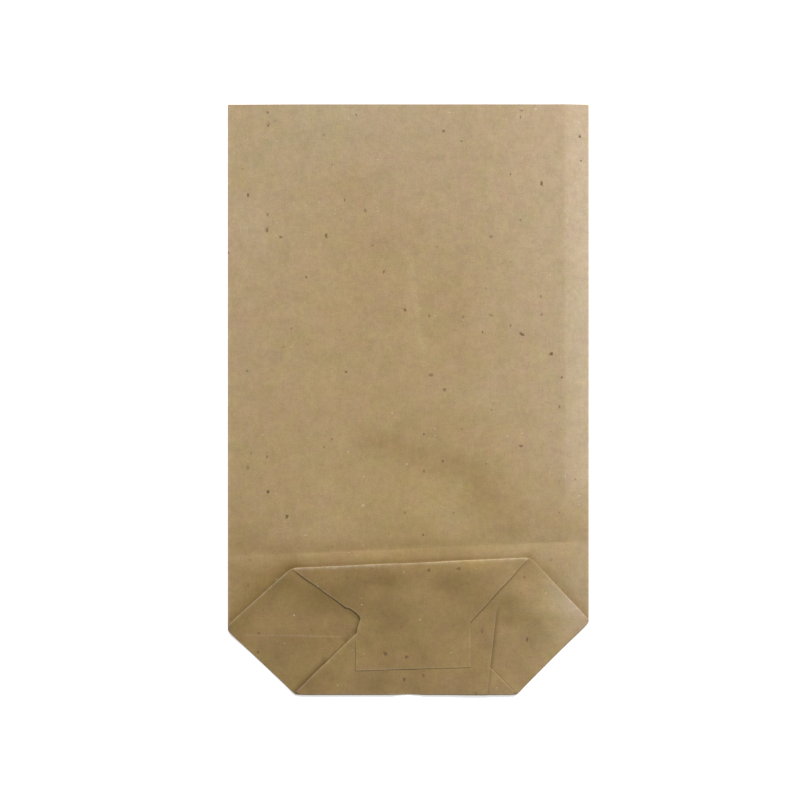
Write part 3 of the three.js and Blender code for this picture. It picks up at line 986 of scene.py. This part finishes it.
def rubs_and_highlights(p):
    """Lines where a layer is painted paler, given as in painted_gap_shade: rubbed pale spots along the
    right corner's fold, and a painted highlight on the left corner's bend.
    """
    return [
        # Painted highlight: the lit bend where the left corner's paper curves down below the vertex line
        ("corner_l", px(248, 635), px(300, 635.5), 0, 0.35, 0.14),
        ("corner_l", px(300, 635.5), px(354, 637), 0, 0.35, 0.22),
        # Rubbed pale along the right diagonal fold
        ("corner_r", px(551.5, 582.5), px(558.5, 589.5), 0, 0.45, 0.26),
        ("corner_r", px(568.4, 599.2), px(579.4, 610), 0, 0.45, 0.34),
        ("corner_r", px(583, 613.5), px(586.5, 616.9), 0, 0.45, 0.2),
    ]


def fold_bag(sizes):
    """Makes the folded sheet's middle surface as one mesh, its layers and round hems not yet welded."""
    p = Plan(sizes)
    sheet = Folder(p)
    sheet.fold()
    mesh = bpy.data.meshes.new("kraft_bag")
    points = np.array(sheet.points) * 0.001
    mesh.from_pydata(points.tolist(), [], sheet.faces)
    for name, values in sheet.marks.items():
        mesh.attributes.new(name, "FLOAT", "POINT").data.foreach_set("value", values)
    paper = np.array(sheet.paper) * 0.001
    corners = np.zeros(len(mesh.loops), dtype=np.int32)
    mesh.loops.foreach_get("vertex_index", corners)
    mesh.uv_layers.new(name="paper").data.foreach_set("uv", paper[corners].ravel())
    return mesh


def close_sheet(bag, thickness):
    """Welds the layers along their folds and gives the sheet its thickness."""
    import bmesh

    work = bmesh.new()
    work.from_mesh(bag.data)
    bmesh.ops.remove_doubles(work, verts=work.verts, dist=1e-6)
    bmesh.ops.recalc_face_normals(work, faces=work.faces)
    work.to_mesh(bag.data)
    work.free()
    solid = bag.modifiers.new("thickness", "SOLIDIFY")
    solid.thickness = thickness
    solid.offset = 0
    graph = bpy.context.evaluated_depsgraph_get()
    closed = bpy.data.meshes.new_from_object(bag.evaluated_get(graph))
    bag.modifiers.clear()
    bag.data = closed
    closed.shade_smooth()
    closed.set_sharp_from_angle(angle=math.radians(50))


# Paper


def node(tree, kind, **values):
    made = tree.nodes.new(kind)
    for key, value in values.items():
        setattr(made, key, value)
    return made


def kraft_paper(finish):
    """Unbleached kraft: cloudy fibre, bark flecks, pale fibres and whitened folds, with painted light and
    shade from the tone, pressed and worn marks.
    """
    material = bpy.data.materials.new("kraft_paper")
    material.use_nodes = True
    tree = material.node_tree
    link = tree.links.new
    shader = tree.nodes["Principled BSDF"]
    paper = node(tree, "ShaderNodeUVMap", uv_map="paper")

    places = count(1)

    def scaled(sx=1.0, sy=1.0):
        """The sheet's own coordinates, stretched and moved so that no two textures line up."""
        mapping = node(tree, "ShaderNodeMapping")
        mapping.inputs["Scale"].default_value = (sx, sy, 1)
        place = next(places)
        mapping.inputs["Location"].default_value = (1.37 * place, 0.83 * place, 0)
        link(paper.outputs["UV"], mapping.inputs["Vector"])
        return mapping.outputs["Vector"]

    def noise(vector, scale, detail=2.0, rough=0.5):
        made = node(tree, "ShaderNodeTexNoise", noise_dimensions="2D")
        made.inputs["Scale"].default_value = scale
        made.inputs["Detail"].default_value = detail
        made.inputs["Roughness"].default_value = rough
        link(vector, made.inputs["Vector"])
        return made.outputs["Fac"]

    def math_node(operation, a, b):
        made = node(tree, "ShaderNodeMath", operation=operation)
        for socket, value in zip(made.inputs, (a, b)):
            if isinstance(value, (int, float)):
                socket.default_value = value
            else:
                link(value, socket)
        return made.outputs[0]

    def spread(value, low, high, to_low=0.0, to_high=1.0):
        made = node(tree, "ShaderNodeMapRange", clamp=True)
        link(value, made.inputs["Value"])
        for name, number in (
            ("From Min", low),
            ("From Max", high),
            ("To Min", to_low),
            ("To Max", to_high),
        ):
            made.inputs[name].default_value = number
        return made.outputs["Result"]

    def mix(factor, a, b, blend="MIX"):
        made = node(tree, "ShaderNodeMix", data_type="RGBA", blend_type=blend)
        for name, value in (("Factor", factor), ("A", a), ("B", b)):
            socket = next(
                s
                for s in made.inputs
                if s.name == name and s.enabled
            )
            if isinstance(value, (int, float)):
                socket.default_value = value
            elif isinstance(value, tuple):
                socket.default_value = value
            else:
                link(value, socket)
        return next(s for s in made.outputs if s.enabled)

    cloud = noise(scaled(), 110, 2.0, 0.5)
    mottle = noise(scaled(), 420, 2.0, 0.6)
    grain = noise(scaled(), 1300, 2.0, 0.7)
    tone = math_node(
        "ADD", spread(cloud, 0.3, 0.7, -0.03, 0.03), spread(mottle, 0.25, 0.75, -0.055, 0.055)
    )
    tone = math_node("ADD", tone, spread(grain, 0.2, 0.8, -0.10, 0.10))
    tone = math_node("ADD", tone, spread(noise(scaled(1, 0.1), 1500, 1.0), 0.2, 0.8, -0.025, 0.025))
    tone = math_node("ADD", tone, spread(noise(scaled(0.12, 1), 1700, 1.0), 0.2, 0.8, -0.02, 0.02))
    tone = math_node("ADD", tone, 1.0)
    pulp = noise(scaled(1, 0.9), 120, 4.0, 0.85)
    ruddy = math_node(
        "ADD",
        spread(pulp, 0.2, 0.8, -0.04, 0.04),
        spread(noise(scaled(), 130, 4.0, 0.85), 0.2, 0.8, -0.035, 0.035),
    )
    bluish = math_node(
        "ADD",
        spread(pulp, 0.2, 0.8, -0.095, 0.095),
        spread(noise(scaled(0.9, 1), 125, 4.0, 0.85), 0.2, 0.8, -0.075, 0.075),
    )
    greenish = spread(pulp, 0.2, 0.8, 0.02, -0.02)
    broad = noise(scaled(), 46, 2.0, 0.6)
    broad_red = spread(broad, 0.3, 0.7, -0.018, 0.018)
    broad_blue = math_node(
        "ADD",
        spread(broad, 0.3, 0.7, -0.022, 0.022),
        spread(noise(scaled(), 60, 2.0, 0.6), 0.3, 0.7, -0.022, 0.022),
    )
    for mark in (broad_red, node(tree, "ShaderNodeAttribute", attribute_name="ruddy").outputs["Fac"]):
        ruddy = math_node("ADD", ruddy, mark)
    for mark in (broad_blue, node(tree, "ShaderNodeAttribute", attribute_name="cool").outputs["Fac"]):
        bluish = math_node("ADD", bluish, mark)
    kraft = (*finish.colour, 1.0)
    lit_kraft = (*finish.lit_kraft, 1.0)
    # Painted light and shade: the tone mark drives a ramp from the shaded bottom's colour through the mean
    # kraft to the lit colour
    tone_and_light_mark = node(tree, "ShaderNodeAttribute", attribute_name="tone")
    ramp = node(tree, "ShaderNodeValToRGB")
    stops = ramp.color_ramp.elements
    stops[0].color = (*finish.shaded, 1.0)
    stops[1].color = lit_kraft
    middle = stops.new(0.571)
    middle.color = kraft
    blotch = spread(noise(scaled(), 190, 2.0, 0.6), 0.3, 0.7, -0.04, 0.04)
    # Painted light and shade of small crumples
    crumple_shade = spread(noise(scaled(0.7, 1), 80, 3.0, 0.55), 0.3, 0.7, -0.19, 0.19)
    # Most crumple shade where the tone is painted darkest
    shaded = spread(tone_and_light_mark.outputs["Fac"], 0.2, 0.6, 0.35, 0.05)
    blotch = math_node("ADD", blotch, math_node("MULTIPLY", crumple_shade, shaded))
    tone = math_node("ADD", tone, blotch)
    ruddy = math_node("SUBTRACT", ruddy, math_node("MULTIPLY", blotch, 0.2))
    link(tone_and_light_mark.outputs["Fac"], ramp.inputs["Fac"])
    base = ramp.outputs["Color"]
    # Paler where worn: folds and cut edges rubbed pale, and the painted highlight on the left corner's
    # bend
    worn = node(tree, "ShaderNodeAttribute", attribute_name="worn")
    patchy = spread(mottle, 0.3, 0.6, 0.6, 1.0)
    rubbed = math_node("MULTIPLY", worn.outputs["Fac"], patchy)
    base = mix(math_node("MULTIPLY", rubbed, 0.75), base, (0.62, 0.52, 0.37, 1.0))
    shade = node(tree, "ShaderNodeCombineColor")
    for socket, value in zip(
        shade.inputs[:3],
        (
            math_node("ADD", tone, ruddy),
            math_node("ADD", tone, greenish),
            math_node("ADD", tone, bluish),
        ),
    ):
        link(value, socket)
    base = mix(1.0, base, shade.outputs["Color"], "MULTIPLY")
    # Painted shade: the pressed mark darkens the paper towards this brown in the gap shadows beside edges,
    # with a little pressed-fibre darkening
    pressed = node(tree, "ShaderNodeAttribute", attribute_name="pressed")
    base = mix(math_node("MULTIPLY", pressed.outputs["Fac"], 0.6), base, (0.13, 0.078, 0.022, 1.0))

    frayed = noise(scaled(), 800, 3.0, 0.7)

    def specks(vector, scale, share, small, large, strength, colour, under):
        """Random specks: a share of a grid's cells, with radii in parts of a cell."""
        cells = node(tree, "ShaderNodeTexVoronoi", voronoi_dimensions="2D", feature="F1")
        cells.inputs["Scale"].default_value = scale
        link(vector, cells.inputs["Vector"])
        pick = node(tree, "ShaderNodeSeparateColor")
        link(cells.outputs["Color"], pick.inputs[0])
        chosen = math_node("GREATER_THAN", pick.outputs[0], 1 - share)
        radius = math_node(
            "MULTIPLY", chosen, spread(pick.outputs[1], 0.0, 1.0, small, large)
        )
        ragged = math_node("MULTIPLY", cells.outputs["Distance"], spread(frayed, 0.3, 0.7, 0.5, 1.6))
        inside_it = spread(math_node("SUBTRACT", radius, ragged), 0.0, 0.015)
        inside_it = math_node("MULTIPLY", inside_it, chosen)
        amount = math_node("MULTIPLY", inside_it, spread(pick.outputs[2], 0, 1, 0.4 * strength, strength))
        return mix(amount, under, (*colour, 1.0))

    base = specks(scaled(1.0, 0.75), 112, 0.11, 0.045, 0.09, 0.9, finish.fleck, base)
    base = specks(scaled(0.7, 1.0), 104, 0.06, 0.04, 0.085, 0.85, finish.fleck, base)
    base = specks(scaled(1.0, 0.8), 270, 0.02, 0.06, 0.14, 0.7, (0.17, 0.085, 0.04), base)
    base = specks(scaled(0.8, 1.1), 190, 0.07, 0.04, 0.075, 0.45, (0.75, 0.68, 0.56), base)
    link(base, shader.inputs["Base Color"])
    shader.inputs["Specular IOR Level"].default_value = 0.25

    rough = spread(mottle, 0.2, 0.8, finish.roughness - 0.06, finish.roughness + 0.06)
    link(rough, shader.inputs["Roughness"])
    height = math_node("ADD", math_node("MULTIPLY", grain, 0.4), mottle)
    bump = node(tree, "ShaderNodeBump")
    bump.inputs["Strength"].default_value = 0.25
    bump.inputs["Distance"].default_value = 0.0001
    link(height, bump.inputs["Height"])
    link(bump.outputs["Normal"], shader.inputs["Normal"])
    return material


class PAPERBAG_OT_fold(bpy.types.Operator):
    """Fold the sheet into the bag and give it its paper"""

    bl_idname = "paper_bag.fold"
    bl_label = "Fold the bag"

    def execute(self, context):
        sizes = context.scene.bag_sizes
        bag = bpy.data.objects.new("folded_bag", fold_bag(sizes))
        context.collection.objects.link(bag)
        close_sheet(bag, sizes.paper)
        bag.data.materials.append(kraft_paper(context.scene.paper_finish))
        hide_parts("paper_bag")
        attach(bag, "root")
        return {"FINISHED"}


def seen_directly(tree, otherwise, seen):
    """A strength for what the camera sees, also through gloss and glass, and one for the rest."""
    path = node(tree, "ShaderNodeLightPath")
    total = path.outputs["Is Camera Ray"]
    for ray in ("Is Glossy Ray", "Is Transmission Ray"):
        either = node(tree, "ShaderNodeMath", operation="MAXIMUM")
        tree.links.new(total, either.inputs[0])
        tree.links.new(path.outputs[ray], either.inputs[1])
        total = either.outputs[0]
    strength = node(tree, "ShaderNodeMapRange")
    tree.links.new(total, strength.inputs["Value"])
    strength.inputs["To Min"].default_value = otherwise
    strength.inputs["To Max"].default_value = seen
    return strength.outputs["Result"]


class PAPERBAG_OT_stage(bpy.types.Operator):
    """Set the floor, the lights and the camera"""

    bl_idname = "paper_bag.stage"
    bl_label = "Set the stage"

    def execute(self, context):
        settings = context.scene.stage_settings
        bpy.ops.mesh.primitive_plane_add(size=6, location=(0, 0, -0.0001))
        floor = context.object
        floor.name = "floor"
        material = bpy.data.materials.new("pale_floor")
        material.use_nodes = True
        tree = material.node_tree
        shader = tree.nodes["Principled BSDF"]
        shader.inputs["Base Color"].default_value = (0.85, 0.85, 0.85, 1)
        shader.inputs["Roughness"].default_value = 0.9
        shader.inputs["Emission Color"].default_value = (1, 1, 1, 1)
        tree.links.new(seen_directly(tree, 0.0, 0.45), shader.inputs["Emission Strength"])
        floor.data.materials.append(material)

        world = bpy.data.worlds.new("soft_room")
        context.scene.world = world
        world.use_nodes = True
        background = world.node_tree.nodes["Background"]
        background.inputs["Color"].default_value = (1, 1, 1, 1)
        seen = seen_directly(world.node_tree, 0.36, 1.0)
        world.node_tree.links.new(seen, background.inputs["Strength"])

        light = bpy.data.lights.new("key", "AREA")
        light.shape = "SQUARE"
        light.size = 1.6
        light.energy = settings.key_power
        key = bpy.data.objects.new("key", light)
        context.collection.objects.link(key)
        key.location = (1.3, 2.9, 1.9)
        key.rotation_euler = (Vector((0, 0, 0)) - key.location).to_track_quat("-Z", "Y").to_euler()

        lens = bpy.data.cameras.new("camera")
        lens.sensor_width = 36
        lens.lens = 36 * settings.camera_height / settings.frame_width
        camera = bpy.data.objects.new("camera", lens)
        context.collection.objects.link(camera)
        camera.location = (-0.0038, 0, settings.camera_height)
        context.scene.camera = camera
        context.scene.view_settings.view_transform = "Standard"
        return {"FINISHED"}


class PAPERBAG_PT_panel(bpy.types.Panel):
    """The bag's operators and sizes"""

    bl_idname = "PAPERBAG_PT_panel"
    bl_label = "Paper bag"
    bl_space_type = "VIEW_3D"
    bl_region_type = "UI"
    bl_category = "Paper bag"

    def draw(self, context):
        column = self.layout.column()
        for operator in OPERATORS:
            column.operator(operator.bl_idname)
        for name in ("bag_sizes", "paper_finish", "stage_settings"):
            group = getattr(context.scene, name)
            for key in type(group).__annotations__:
                column.prop(group, key)


OPERATORS = (PAPERBAG_OT_fold, PAPERBAG_OT_stage)
CLASSES = (BagSizes, PaperFinish, StageSettings, *OPERATORS, PAPERBAG_PT_panel)


def register():
    for item in CLASSES:
        bpy.utils.register_class(item)
    bpy.types.Scene.bag_sizes = PointerProperty(type=BagSizes)
    bpy.types.Scene.paper_finish = PointerProperty(type=PaperFinish)
    bpy.types.Scene.stage_settings = PointerProperty(type=StageSettings)


def unregister():
    del bpy.types.Scene.stage_settings
    del bpy.types.Scene.paper_finish
    del bpy.types.Scene.bag_sizes
    for item in reversed(CLASSES):
        bpy.utils.unregister_class(item)


def main():
    register()
    bpy.ops.paper_bag.fold()
    bpy.ops.paper_bag.stage()


if __name__ == "__main__":
    main()
